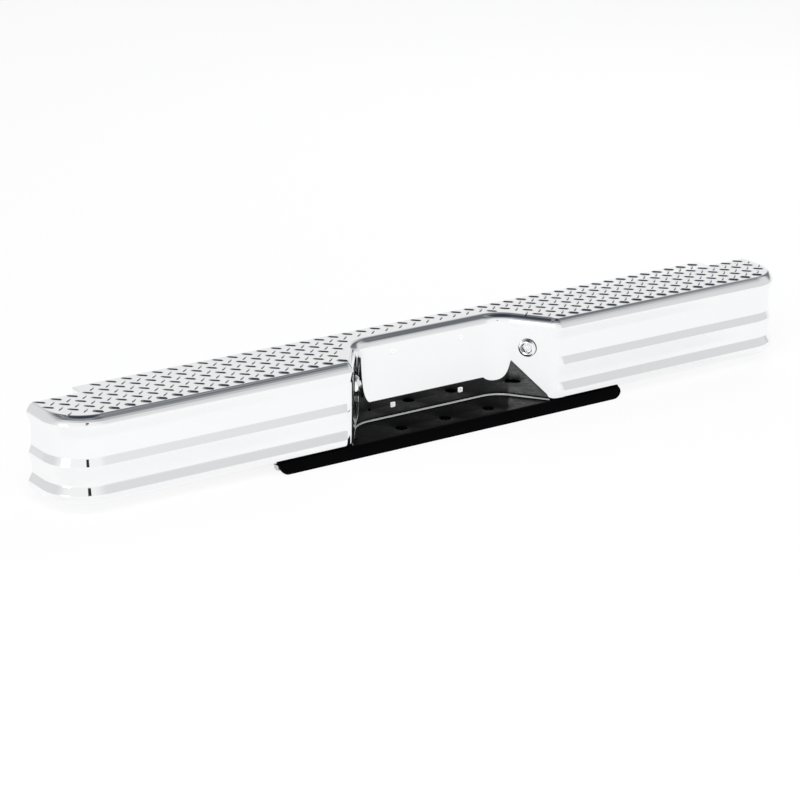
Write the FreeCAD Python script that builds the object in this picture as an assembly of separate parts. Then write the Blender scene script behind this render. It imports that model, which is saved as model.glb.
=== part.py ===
"""Chrome rear step bumper: face bar, tow channel, brackets, stiffeners, licence lamps and fixings.

Millimetres. X runs along the bumper, +Y points to the vehicle, +Z is up.
The origin is the middle of the footprint at the height of the tow channel's lower edges.
"""
import FreeCAD, Part
import math
import os

V = FreeCAD.Vector

# Overall sizes
LENGTH = 1880.0
DEPTH = 300.0
TREAD_Z = 210.0
FRONT_Y = -DEPTH / 2
REAR_Y = FRONT_Y + 190.6
END_Y = FRONT_Y + 152.5
STEP_X = 819.0

# Face bar section: heights, and how far each rib stands off the flat of the face
SHEET = 2.5
RIB2_OUT = 10.0
RIB1_OUT = 7.0
FOOT_R = 16.0
RECESS_FOOT_R = 6.0
PLATE_TOP = 25.0
RIB2_PEAK = 47.0
RIB2_TOP = 63.7
RIB1_FOOT = 77.0
RIB1_PEAK = 106.0
RIB1_TOP = 123.0
REAR_FLANGE = 32.0
FOOT_FLANGE = 25.0

# Rim on the face, from its foot to the tread: drop below the tread and offset
RIM = (
    (45.0, 0.0), (24.0, 7.4), (19.0, 8.5), (14.5, 7.3), (10.0, 5.1),
    (5.5, 2.3), (3.2, 0.5), (1.7, -0.8), (0.5, -2.3), (0.0, -4.2),
)
# Radius of the rolled top in the recess
RECESS_RIM_R = 21.0

# Face bar in plan: the flat of the face, the end corners and the licence recess
FLAT_Y = FRONT_Y + RIB2_OUT
END_X = LENGTH / 2 - RIB2_OUT
END_R = 86.0
WALL_Y = FRONT_Y + 118.0
RECESS_FRONT = 264.0
RECESS_REAR = 181.0
BEND_FRONT = 26.0
BEND_REAR = 75.0
RIB_RUNOUT = 12.0

# Diamond tread
BAR_LONG = 28.0
BAR_WIDE = 7.0
BAR_HIGH = 1.6
BAR_TOP = 0.55
BAR_FLANK = 0.62
TREAD_PITCH_X = 35.5
TREAD_PITCH_Y = 36.0
TREAD_FIRST_Y = FRONT_Y + 31.0
TREAD_ROWS = 5
TREAD_EDGE = 13.0
TREAD_LIP = 10.0

# Tow channel
TOW_HALF = 445.0
TOW_THICK = 6.0
TOW_DEPTH = 156.0
TOW_NOSE = 15.0
TOW_BEND = 10.0
TOW_CORNER = 20.0
BALL_HOLE = 27.0
BALL_PITCH = 114.3
BALL_Y = FRONT_Y + 48.5

# Brackets and step stiffeners
PLATE = 6.0
WEB_X = 418.0
TAB_X = 340.0
TAB_LOW = TREAD_Z - 30.0
TAB_HIGH = TREAD_Z - 8.0
FOOT_Y0 = FRONT_Y + 52.0
FOOT_Y1 = FRONT_Y + 145.0
FRAME_SLOT_Y = (FRONT_Y + 232.0, FRONT_Y + 277.0)
FRAME_SLOT_Z = 112.0
FRAME_SLOT_W = 13.0
FRAME_SLOT_L = 25.0
ANGLE = 35.0
ANGLE_T = 4.0
ANGLE_X = (332.0, 806.0)
WEB_TOP = TREAD_Z - SHEET - ANGLE - 2.0

# Fasteners: one size throughout
BOLT_D = 10.0
BOLT_L = 25.0
BOLT_AF = 16.0
HEAD_H = 6.4
NUT_H = 8.0
WASHER_D = 20.0
WASHER_T = 2.0
BOLT_HOLE = 11.0
THREAD_GAP = 0.1
FLANGE_BOLT_X = (318.0, 436.0)
FLANGE_BOLT_Y = FRONT_Y + 26.0
FOOT_BOLT_X = 379.0
FOOT_BOLT_Y = (FRONT_Y + 76.0, FRONT_Y + 121.0)
TAB_BOLT_X = (360.0, 400.0)
OUTER_BOLT_X = 785.0
REAR_BOLT_Z = TREAD_Z - 19.0

# Licence plate nuts
PLATE_PITCH_X = 177.8
PLATE_PITCH_Z = 120.65
PLATE_Z = 112.8
NUT_FLANGE = 11.0
NUT_FLANGE_T = 2.0
NUT_BODY = 8.6
NUT_BODY_L = 14.0
NUT_SCREW = 4.6
NUT_HOLE = 9.0

# Licence lamps, on the slanted recess walls
LAMP_X = 226.0
LAMP_Z = 140.0
LAMP_HOLE = 34.0
HOUSING_R = 16.6
GASKET_T = 1.2

TURN = math.atan2(WALL_Y - FLAT_Y, RECESS_FRONT - RECESS_REAR)
BEND_FRONT_X = RECESS_FRONT + BEND_FRONT * math.tan(TURN / 2)
BEND_REAR_X = RECESS_REAR - BEND_REAR * math.tan(TURN / 2)


def polar(centre, radius, degrees):
    """Point at an angle on a circle in plan."""
    a = math.radians(degrees)
    return (centre[0] + radius * math.cos(a), centre[1] + radius * math.sin(a))


def joined(points):
    """Straight edge through two points, or arc through three."""
    if len(points) == 2:
        return Part.LineSegment(*points).toShape()
    return Part.Arc(*points).toShape()


def half_path(face, recess, corner):
    """Right half of the face in plan, from the recess wall to the end, as lines and arcs.

    face, recess and corner are the distances out from the flat, on the face, in the recess and
    where the bend between them ends. A straight edge is a pair of points, an arc three.
    """
    rear = (BEND_REAR_X, WALL_Y - BEND_REAR)
    front = (BEND_FRONT_X, FLAT_Y + BEND_FRONT)
    end = (END_X - END_R, FLAT_Y + END_R)
    turn = math.degrees(TURN)
    rear_arc = [polar(rear, BEND_REAR - recess, a) for a in (90, 90 - turn / 2, 90 - turn)]
    bend = ((recess, 270 - turn), ((recess + corner) / 2, 270 - turn / 2), (corner, 270))
    front_arc = [polar(front, BEND_FRONT + out, a) for out, a in bend]
    end_arc = [polar(end, END_R + face, a) for a in (270, 315, 360)]
    rib_start = (BEND_FRONT_X + RIB_RUNOUT, FLAT_Y - face)
    return [
        rear_arc,
        [rear_arc[-1], front_arc[0]],
        front_arc,
        [front_arc[-1], rib_start],
        [rib_start, end_arc[0]],
        end_arc,
    ]


def outline(level, back):
    """Closed wire at a level's height: the face path, then the back corner points on the +X side."""
    z, face = level[:2]
    right = half_path(*level[1:])
    right.append([right[-1][-1], (END_X + face, back[0][1])])
    left = [[(-x, y) for x, y in reversed(run)] for run in reversed(right)]
    wall = [left[-1][-1], right[0][0]]
    corners = [right[-1][-1]] + list(back[1:]) + [(-x, y) for x, y in reversed(back[1:])]
    corners.append(left[0][0])
    rear = [list(pair) for pair in zip(corners, corners[1:])]
    edges = []
    for run in left + [wall] + right + rear:
        points = [V(x, y, z) for x, y in run]
        edges.append(joined(points))
    return Part.Wire(edges)


def roll(radius, inset, z):
    """Offset of the rolled foot at a height: an arc from the flange up to the wall."""
    rise = max(PLATE_TOP + radius - z, 0)
    return math.sqrt(max((radius - inset) ** 2 - rise ** 2, 0)) - radius


def crown(inset, z):
    """Offset of the recess's rolled top at a height: an arc from the wall back to the tread."""
    rise = max(z - TREAD_Z + RECESS_RIM_R, 0)
    return math.sqrt(max((RECESS_RIM_R - inset) ** 2 - rise ** 2, 0)) - RECESS_RIM_R


def section(inset):
    """Levels of the sheet's outer side (inset 0) or inner side (inset SHEET), from the foot to the tread.

    A level is a height and the offsets on the face, in the recess and at the bend's end.
    """
    levels = []
    for a in (0, 20, 40, 60, 90):
        z = PLATE_TOP + FOOT_R - (FOOT_R - inset) * math.cos(math.radians(a))
        recess = roll(RECESS_FOOT_R, inset, z)
        levels.append((z, RIB2_OUT + roll(FOOT_R, inset, z), recess, recess))
    ribs = ((RIB2_PEAK, RIB2_OUT), (RIB2_TOP, 0), (RIB1_FOOT, 0), (RIB1_PEAK, RIB1_OUT), (RIB1_TOP, 0))
    for z, out in ribs:
        levels.append((z, out - inset, -inset, -inset))
    for drop, out in RIM:
        z = TREAD_Z - drop
        levels.append((z, out - inset, crown(inset, z), out - inset))
    return between(levels, levels[0][0], TREAD_Z - inset)


def between(levels, low, high):
    """The part of a section between two heights, with new levels at the cuts."""
    def at(z):
        for a, b in zip(levels, levels[1:]):
            if a[0] <= z <= b[0]:
                k = (z - a[0]) / (b[0] - a[0])
                return tuple(u + k * (v - u) for u, v in zip(a, b))

    return [at(low)] + [level for level in levels if low < level[0] < high] + [at(high)]


def stack(levels, back):
    """Solid through a stack of outlines."""
    return Part.makeLoft([outline(level, back) for level in levels], True, True)


def cylinder(centre, axis, diameter, low, high):
    """Cylinder along an axis between two distances from a point."""
    axis = V(axis).normalize()
    return Part.makeCylinder(diameter / 2, high - low, V(centre) + axis * low, axis)


def lamp_frame(side):
    """Placement that puts a lamp's own axis along the recess wall's normal."""
    along = (LAMP_X - RECESS_FRONT) / (RECESS_REAR - RECESS_FRONT)
    base = V(side * LAMP_X, FLAT_Y + along * (WALL_Y - FLAT_Y), LAMP_Z)
    normal = V(-side * math.sin(TURN), -math.cos(TURN), 0)
    return FreeCAD.Placement(base, FreeCAD.Rotation(V(0, 0, 1), normal))


def tread_bars():
    """Raised bars in two directions on a square lattice, wherever the flat of the step has room."""
    back = [(END_X, END_Y - TREAD_EDGE), (STEP_X - TREAD_EDGE, END_Y - TREAD_EDGE)]
    back.append((STEP_X - TREAD_EDGE, REAR_Y - TREAD_EDGE))
    face, recess = RIM[-1][1] - TREAD_LIP, -RECESS_RIM_R - TREAD_LIP / 4
    room = Part.Face(outline((0, face, recess, face), back))
    long, wide = BAR_LONG / 2, BAR_WIDE / 2
    flank = BAR_FLANK * long
    shape = [(long, 0), (flank, wide), (-flank, wide), (-long, 0), (-flank, -wide), (flank, -wide)]
    foot = 1 + (1 - BAR_TOP) * SHEET / 4 / BAR_HIGH
    wires = []
    for scale, z in ((foot, -SHEET / 4), (BAR_TOP, BAR_HIGH)):
        points = [V(x * scale, y * scale, z) for x, y in shape]
        wires.append(Part.makePolygon(points + points[:1]))
    bar = Part.makeLoft(wires, True, True)
    bars = []
    columns = int(LENGTH / TREAD_PITCH_X)
    for row in range(2 * TREAD_ROWS - 1):
        lean = -45 if row % 2 == 0 else 45
        for column in range(-columns, columns + 1):
            x = (column / 2 + 0.25) * TREAD_PITCH_X
            y = TREAD_FIRST_Y + row * TREAD_PITCH_Y / 2
            if (column + row) % 2 == 0 and room.isInside(V(x, y, 0), 0.01, True):
                piece = bar.copy()
                piece.Placement = FreeCAD.Placement(V(x, y, TREAD_Z), FreeCAD.Rotation(V(0, 0, 1), lean))
                bars.append(piece)
    return bars


def bolt_places():
    """Each fixing as a head seat, the direction from head to nut, and the thickness it clamps."""
    places = []
    for side in (-1, 1):
        for x in FLANGE_BOLT_X:
            places.append((V(side * x, FLANGE_BOLT_Y, PLATE_TOP + SHEET), V(0, 0, -1), SHEET + TOW_THICK))
        for y in FOOT_BOLT_Y:
            places.append((V(side * FOOT_BOLT_X, y, PLATE_TOP + PLATE), V(0, 0, -1), PLATE + TOW_THICK))
        for x in TAB_BOLT_X:
            seat = V(side * x, REAR_Y + PLATE, REAR_BOLT_Z)
            places.append((seat, V(0, -1, 0), PLATE + SHEET + ANGLE_T))
        places.append((V(side * OUTER_BOLT_X, REAR_Y, REAR_BOLT_Z), V(0, -1, 0), SHEET + ANGLE_T))
    return places


def bolt_holes():
    """Cutters for every fixing."""
    return [cylinder(seat, axis, BOLT_HOLE, -1, grip + 1) for seat, axis, grip in bolt_places()]


def plate_points():
    """The four licence plate fixing points on the recess wall."""
    x, z = PLATE_PITCH_X / 2, PLATE_PITCH_Z / 2
    return [V(i * x, WALL_Y, PLATE_Z + j * z) for i in (-1, 1) for j in (-1, 1)]


def face_bar():
    """One-piece stamping: tread, rim, ribbed face, wrapped ends and licence recess."""
    back = [(END_X, END_Y), (STEP_X, END_Y), (STEP_X, REAR_Y)]
    inner_back = [(END_X, END_Y - SHEET), (STEP_X - SHEET, END_Y - SHEET), (STEP_X - SHEET, REAR_Y - SHEET)]
    open_back = [(END_X, REAR_Y + SHEET), (STEP_X, REAR_Y + SHEET), (STEP_X / 2, REAR_Y + SHEET)]
    inner = section(SHEET)
    lip = TREAD_Z - REAR_FLANGE
    mouth = (-FOOT_FLANGE, -FOOT_FLANGE, -FOOT_FLANGE)
    cutters = [
        stack(between(inner, inner[0][0], lip), open_back),
        stack(between(inner, lip, inner[-1][0]), inner_back),
        stack([(z, *mouth) for z in (PLATE_TOP - 1, PLATE_TOP + SHEET + 1)], open_back),
    ]
    for point in plate_points():
        size = V(NUT_HOLE, 4 * SHEET, NUT_HOLE)
        cutters.append(Part.makeBox(size.x, size.y, size.z, point - size / 2))
    for side in (-1, 1):
        hole = Part.makeCylinder(LAMP_HOLE / 2, 4 * SHEET, V(0, 0, -2 * SHEET))
        hole.Placement = lamp_frame(side)
        cutters.append(hole)
    shell = stack(section(0), back).cut(cutters + bolt_holes())
    return shell.fuse(tread_bars())


def tow_channel():
    """Pressed channel with three ball holes, standing on its two down-turned edges."""
    y0, y1 = FRONT_Y, FRONT_Y + TOW_DEPTH
    top = PLATE_TOP
    nose, heel = TOW_NOSE, TOW_BEND
    slack = 1 - math.sqrt(0.5)

    def bend(y, sign, radius, edge):
        """Arc of a bend between its upright and its flat, edge millimetres inside the outer skin."""
        inner = radius - edge
        k = slack * inner
        low, high = top - edge - inner, top - edge
        return [(y + sign * edge, low), (y + sign * (edge + k), high - k), (y + sign * radius, high)]

    outer = bend(y0, 1, nose, 0), bend(y1, -1, heel, 0)[::-1]
    within = bend(y1, -1, heel, TOW_THICK), bend(y0, 1, nose, TOW_THICK)[::-1]
    runs = [
        [(y0, 0), outer[0][0]], outer[0], [outer[0][2], outer[1][0]], outer[1], [outer[1][2], (y1, 0)],
        [(y1, 0), (y1 - TOW_THICK, 0)],
        [(y1 - TOW_THICK, 0), within[0][0]], within[0], [within[0][2], within[1][0]], within[1],
        [within[1][2], (y0 + TOW_THICK, 0)],
        [(y0 + TOW_THICK, 0), (y0, 0)],
    ]
    edges = []
    for run in runs:
        points = [V(-TOW_HALF, y, z) for y, z in run]
        edges.append(joined(points))
    channel = Part.Face(Part.Wire(edges)).extrude(V(2 * TOW_HALF, 0, 0))
    block = Part.makeBox(2 * TOW_HALF, TOW_DEPTH, TREAD_Z, V(-TOW_HALF, y0, 0))
    lower = []
    for edge in block.Edges:
        middle = edge.CenterOfMass
        if abs(middle.z) < 0.01 and abs(abs(middle.x) - TOW_HALF) < 0.01:
            lower.append(edge)
    channel = channel.common(block.makeFillet(TOW_CORNER, lower))
    holes = [cylinder(V(i * BALL_PITCH, BALL_Y, 0), V(0, 0, 1), BALL_HOLE, 0, TREAD_Z) for i in (-1, 0, 1)]
    return channel.cut(holes + bolt_holes())


def bracket():
    """Right frame bracket: a folded plate with a foot on the tow channel and a tab on the rear flange."""
    profile = [
        (FOOT_Y0, PLATE_TOP), (FOOT_Y1, PLATE_TOP),
        (-FRONT_Y, FRAME_SLOT_Z - 36), (-FRONT_Y, FRAME_SLOT_Z + 30),
        (REAR_Y + PLATE, TAB_HIGH), (REAR_Y, TAB_HIGH), (REAR_Y, WEB_TOP), (FOOT_Y1, WEB_TOP),
        (FOOT_Y0, PLATE_TOP + 60),
    ]
    points = [V(WEB_X, y, z) for y, z in profile]
    web = Part.Face(Part.makePolygon(points + points[:1])).extrude(V(PLATE, 0, 0))
    foot = Part.makeBox(WEB_X + PLATE - TAB_X, FOOT_Y1 - FOOT_Y0, PLATE, V(TAB_X, FOOT_Y0, PLATE_TOP))
    tab = Part.makeBox(WEB_X + PLATE - TAB_X, PLATE, TAB_HIGH - TAB_LOW, V(TAB_X, REAR_Y, TAB_LOW))
    body = web.fuse([foot, tab]).removeSplitter()
    slots = []
    for y in FRAME_SLOT_Y:
        half = (FRAME_SLOT_L - FRAME_SLOT_W) / 2
        for end in (-half, half):
            slots.append(cylinder(V(0, y + end, FRAME_SLOT_Z), V(1, 0, 0), FRAME_SLOT_W, 0, LENGTH))
        corner = V(0, y - half, FRAME_SLOT_Z - FRAME_SLOT_W / 2)
        slots.append(Part.makeBox(LENGTH, 2 * half, FRAME_SLOT_W, corner))
    return body.cut(slots + bolt_holes())


def stiffener():
    """Right step stiffener: an angle under the step, against the rear flange."""
    x0, x1 = ANGLE_X
    y, z = REAR_Y - SHEET, TREAD_Z - SHEET
    profile = [
        (y, z), (y, z - ANGLE), (y - ANGLE_T, z - ANGLE), (y - ANGLE_T, z - ANGLE_T),
        (y - ANGLE, z - ANGLE_T), (y - ANGLE, z),
    ]
    points = [V(x0, a, b) for a, b in profile]
    return Part.Face(Part.makePolygon(points + points[:1])).extrude(V(x1 - x0, 0, 0)).cut(bolt_holes())


def hexagon(height, across):
    """Hexagonal prism on the +Z axis."""
    radius = across / math.sqrt(3)
    points = [V(*polar((0, 0), radius, 60 * k), 0) for k in range(7)]
    return Part.Face(Part.makePolygon(points)).extrude(V(0, 0, height))


def placed(shape, seat, axis):
    """Copy of a shape moved from the origin and +Z to a seat and an axis."""
    copy = shape.copy()
    copy.Placement = FreeCAD.Placement(seat, FreeCAD.Rotation(V(0, 0, 1), axis))
    return copy


def fasteners():
    """Bolts, washers and nuts, each as one group."""
    shank = Part.makeCylinder(BOLT_D / 2, BOLT_L + 1, V(0, 0, -BOLT_L))
    bolt = hexagon(HEAD_H, BOLT_AF).fuse(shank).removeSplitter()
    washer = Part.makeCylinder(WASHER_D / 2, WASHER_T).cut(Part.makeCylinder(BOLT_HOLE / 2, WASHER_T))
    nut = hexagon(NUT_H, BOLT_AF).cut(Part.makeCylinder(BOLT_D / 2 + THREAD_GAP, NUT_H))
    groups = {"bolts": [], "washers": [], "nuts": []}
    for seat, axis, grip in bolt_places():
        groups["washers"].append(placed(washer, seat, -axis))
        groups["bolts"].append(placed(bolt, seat - axis * WASHER_T, -axis))
        groups["washers"].append(placed(washer, seat + axis * grip, axis))
        groups["nuts"].append(placed(nut, seat + axis * (grip + WASHER_T), axis))
    return {name: Part.makeCompound(solids) for name, solids in groups.items()}


def plate_nuts():
    """Nylon snap-in nuts for the licence plate screws."""
    nuts = []
    for point in plate_points():
        corner = point - V(NUT_FLANGE / 2, NUT_FLANGE_T, NUT_FLANGE / 2)
        flange = Part.makeBox(NUT_FLANGE, NUT_FLANGE_T, NUT_FLANGE, corner)
        corner = point - V(NUT_BODY / 2, NUT_FLANGE_T / 2, NUT_BODY / 2)
        body = Part.makeBox(NUT_BODY, NUT_BODY_L, NUT_BODY, corner)
        screw = cylinder(point, V(0, 1, 0), NUT_SCREW, -NUT_FLANGE_T, NUT_BODY_L)
        nuts.append(flange.fuse(body).removeSplitter().cut(screw))
    return Part.makeCompound(nuts)


def turned(profile):
    """Solid of revolution about +Z from (radius, height) points; three points in a run are an arc."""
    edges = []
    for run in profile:
        points = [V(r, 0, z) for r, z in run]
        edges.append(joined(points))
    return Part.Face(Part.Wire(edges)).revolve(V(0, 0, 0), V(0, 0, 1), 360)


def dome(edge, top):
    """Arc from an edge point up to a point on the axis, centred on the axis."""
    r, z = edge
    centre = (r * r + z * z - top * top) / (2 * (z - top))
    half = math.atan2(r, z - centre) / 2
    return [edge, ((top - centre) * math.sin(half), centre + (top - centre) * math.cos(half)), (0, top)]


def ring(points):
    """Turned solid from a closed list of corners."""
    return turned([[a, b] for a, b in zip(points, points[1:] + points[:1])])


def lamp_pieces():
    """One licence lamp on the +Z axis; the recess wall's visible side is z = 0."""
    seat = GASKET_T
    lip = HOUSING_R + 0.05
    pieces = {
        "gasket": ring([(lip, 0), (20.5, 0), (20.5, seat), (lip, seat)]),
        "bezel": ring([
            (lip, seat), (20, seat), (20, 2.8), (18.6, 6), (15.8, 9), (13, 10), (13, 5.2),
            (14.6, 5.2), (14.6, 3.05), (lip, 3.05),
        ]),
        "housing": ring([
            (6.1, -26), (HOUSING_R, -26), (HOUSING_R, 3), (13.2, 3), (13.2, 1),
            (14.6, -1), (14.6, -24), (6.1, -24),
        ]),
        "retainer": ring([(lip, -5.5), (21.5, -5.5), (21.5, -SHEET), (lip, -SHEET)]),
        "socket": ring([(2.6, -16), (6, -16), (6, -26), (8, -26), (8, -29), (2.6, -29)]),
        "grommet": ring([(2, -29), (6, -29), (4.2, -36), (2, -36)]),
    }
    pieces["lens"] = turned([
        dome((12.9, 5.1), 15), [(0, 15), (0, 13)],
        dome((11, 5.1), 13)[::-1], [(11, 5.1), (11, 3.05)],
        [(11, 3.05), (14.5, 3.05)], [(14.5, 3.05), (14.5, 5.1)], [(14.5, 5.1), (12.9, 5.1)],
    ])
    pieces["bulb"] = turned([
        [(0, -18), (2.5, -18)], [(2.5, -18), (2.5, -10)], dome((2.5, -10), -2), [(0, -2), (0, -18)],
    ])
    return pieces


def mirrored(shape):
    """The same piece on the other side."""
    return shape.mirror(V(0, 0, 0), V(1, 0, 0))


def main():
    """Builds every node and writes it."""
    nodes = {"face_bar": face_bar(), "tow_channel": tow_channel(), "plate_nuts": plate_nuts()}
    nodes.update(fasteners())
    for name, shape in (("frame_bracket", bracket()), ("step_stiffener", stiffener())):
        nodes["right_" + name] = shape
        nodes["left_" + name] = mirrored(shape)
    for label, side in (("left", -1), ("right", 1)):
        for name, shape in lamp_pieces().items():
            piece = shape.copy()
            piece.Placement = lamp_frame(side)
            nodes[f"{label}_lamp_{name}"] = piece
    os.makedirs("parts", exist_ok=True)
    for name, shape in nodes.items():
        shape.exportStep(f"parts/{name}.step")


main()
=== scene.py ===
import logging
import math
from dataclasses import dataclass
from enum import Enum

import bmesh
import bpy
import numpy as np
from mathutils import Matrix, Vector
from mathutils.geometry import delaunay_2d_cdt


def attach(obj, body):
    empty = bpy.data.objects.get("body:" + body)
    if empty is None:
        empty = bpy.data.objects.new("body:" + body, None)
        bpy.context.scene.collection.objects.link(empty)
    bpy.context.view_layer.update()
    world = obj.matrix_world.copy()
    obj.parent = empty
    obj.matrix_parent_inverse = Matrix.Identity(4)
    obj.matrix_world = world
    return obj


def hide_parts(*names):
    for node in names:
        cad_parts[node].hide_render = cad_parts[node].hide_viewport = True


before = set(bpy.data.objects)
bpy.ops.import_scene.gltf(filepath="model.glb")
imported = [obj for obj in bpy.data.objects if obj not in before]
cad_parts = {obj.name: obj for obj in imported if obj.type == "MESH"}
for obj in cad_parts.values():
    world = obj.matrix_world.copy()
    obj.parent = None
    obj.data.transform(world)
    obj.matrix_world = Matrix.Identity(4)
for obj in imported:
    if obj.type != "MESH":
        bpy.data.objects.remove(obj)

MM = 0.001
TINY = 1e-6
LOG = logging.getLogger("step_bumper")
Array = np.ndarray
Socket = bpy.types.NodeSocket
Colour = tuple[float, float, float, float]
Stops = tuple[tuple[float, float], ...]


class Side(Enum):
    """Which end of the bumper a piece is on, as the sign of X."""

    LEFT = -1
    RIGHT = 1

    @property
    def label(self) -> str:
        """Node name prefix of this side."""
        return self.name.lower()


# Mesh helpers


def grid_faces(rows: int, columns: int, wrap: bool = False) -> Array:
    """Quads of a grid of points, row by row.

    Args:
        rows: points along the first parameter.
        columns: points along the second parameter.
        wrap: whether the last column joins the first.

    Returns:
        Index array, four per quad.
    """
    index = np.arange(rows * columns).reshape(rows, columns)
    if wrap:
        index = np.hstack([index, index[:, :1]])
    corners = (index[:-1, :-1], index[1:, :-1], index[1:, 1:], index[:-1, 1:])
    return np.stack(corners, -1).reshape(-1, 4)


def smoothstep(t: Array) -> Array:
    """Cubic ease, 0 up to t = 0 and 1 from t = 1."""
    t = np.clip(t, 0.0, 1.0)
    return t * t * (3.0 - 2.0 * t)


def filleted(corners: list[tuple[float, float, float]], steps: int = 6) -> Array:
    """Polyline with each inner corner replaced by a tangent arc.

    The arc of radius r starts r tan(turn/2) before the corner and is swept through the turn.

    Args:
        corners: points as (a, b, radius); the first and last radius are not used.
        steps: segments in each arc.

    Returns:
        Points (n, 2).
    """
    runs = [np.array([corners[0][:2]])]
    for before, here, after in zip(corners, corners[1:], corners[2:]):
        p, q, r = (np.array(c[:2], float) for c in (before, here, after))
        into = (q - p) / np.linalg.norm(q - p)
        out = (r - q) / np.linalg.norm(r - q)
        turn = math.atan2(into[0] * out[1] - into[1] * out[0], float(into @ out))
        reach = here[2] * math.tan(abs(turn) / 2)
        normal = np.array([-into[1], into[0]]) * math.copysign(1.0, turn)
        centre = q - into * reach + normal * here[2]
        sweep = np.linspace(0.0, abs(turn), steps + 1)[:, None]
        runs.append(centre + here[2] * (np.sin(sweep) * into - np.cos(sweep) * normal))
    runs.append(np.array([corners[-1][:2]]))
    return np.vstack(runs)


class SurfaceMesh:
    """Points in millimetres and faces, gathered patch by patch into one mesh."""

    WELD_M = 2e-6
    SLIVER_M = 1e-6
    BEVEL_ANGLE = 50.0
    BEVEL_STEPS = 2

    def __init__(self) -> None:
        """Starts empty."""
        self.points: list[Array] = []
        self.faces: list[Array] = []
        self.count = 0

    def add(self, points: Array, faces: Array) -> None:
        """Adds a patch.

        Args:
            points: its points.
            faces: rows of indices, counted from the patch's own first point.
        """
        self.points.append(np.asarray(points, float).reshape(-1, 3))
        self.faces.append(np.asarray(faces) + self.count)
        self.count += len(self.points[-1])

    def grid(self, points: Array, wrap: bool = False) -> None:
        """Adds a patch of rows by columns points; with wrap its last column joins the first."""
        self.add(points, grid_faces(*points.shape[:2], wrap))

    def lathe(self, profile: Array, place: Matrix, segments: int = 64) -> None:
        """Adds a surface of revolution: each (radius, height) point is carried round the axis.

        Args:
            profile: (radius, height) points, outer side to the left of the direction of travel.
            place: puts the axis, the height direction and the origin in the part.
            segments: steps round the axis.
        """
        angle = np.linspace(0.0, 2.0 * math.pi, segments, endpoint=False)
        r, h = profile[:, :1], profile[:, 1:]
        height = np.broadcast_to(h, (len(profile), segments))
        local = np.stack([r * np.cos(angle), r * np.sin(angle), height], -1)
        turn = np.array(place.to_3x3())
        self.grid((local @ turn.T + np.array(place.translation))[:, ::-1], wrap=True)

    def build(
        self, name: str, sheet: float = 0.0, bevel: float = 0.0, sharp: float = 38.0
    ) -> bpy.types.Object:
        """Makes the object, gives a sheet its thickness inwards and marks the sharp edges.

        Args:
            name: object name.
            sheet: wall thickness in millimetres, or 0 for a closed shape.
            bevel: width of the edge rounding in millimetres.
            sharp: angle in degrees past which an edge is sharp.

        Returns:
            The object, at the origin, with its place in its mesh.
        """
        mesh = bpy.data.meshes.new(name)
        faces = [row for patch in self.faces for row in patch.tolist()]
        mesh.from_pydata(np.vstack(self.points) * MM, [], faces)
        work = bmesh.new()
        work.from_mesh(mesh)
        bmesh.ops.remove_doubles(work, verts=work.verts, dist=self.WELD_M)
        bmesh.ops.dissolve_degenerate(work, edges=work.edges, dist=self.SLIVER_M)
        work.to_mesh(mesh)
        work.free()
        piece = bpy.data.objects.new(name, mesh)
        bpy.context.scene.collection.objects.link(piece)
        if sheet:
            wall = piece.modifiers.new("wall", "SOLIDIFY")
            wall.thickness = sheet * MM
            wall.offset = -1.0
            wall.use_even_offset = True
        if bevel:
            edge = piece.modifiers.new("edge", "BEVEL")
            edge.width = bevel * MM
            edge.segments = self.BEVEL_STEPS
            edge.limit_method = "ANGLE"
            edge.angle_limit = math.radians(self.BEVEL_ANGLE)
        if sheet or bevel:
            graph = bpy.context.evaluated_depsgraph_get()
            finished = bpy.data.meshes.new_from_object(piece.evaluated_get(graph))
            piece.modifiers.clear()
            piece.data = finished
        piece.data.shade_smooth()
        piece.data.set_sharp_from_angle(angle=math.radians(sharp))
        return piece


def settle(piece: bpy.types.Object, slot: str, material: bpy.types.Material, *nodes: str) -> None:
    """Dresses a piece, fixes it to the body and lets it stand for its CAD nodes.

    Args:
        piece: the piece.
        slot: not used.
        material: its material.
        nodes: CAD nodes that it replaces.
    """
    piece.data.materials.clear()
    piece.data.materials.append(material)
    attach(piece, "root")
    if nodes:
        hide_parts(*nodes)
    LOG.info("%s: %d faces", piece.name, len(piece.data.polygons))


# Finishes

NOISE_SPAN = (0.3, 0.7)
FINE_SHARE = 0.35
SPECK_RARITY = 0.72
DUST: Colour = (0.45, 0.45, 0.44, 1.0)
WHITE: Colour = (1.0, 1.0, 1.0, 1.0)


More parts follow.
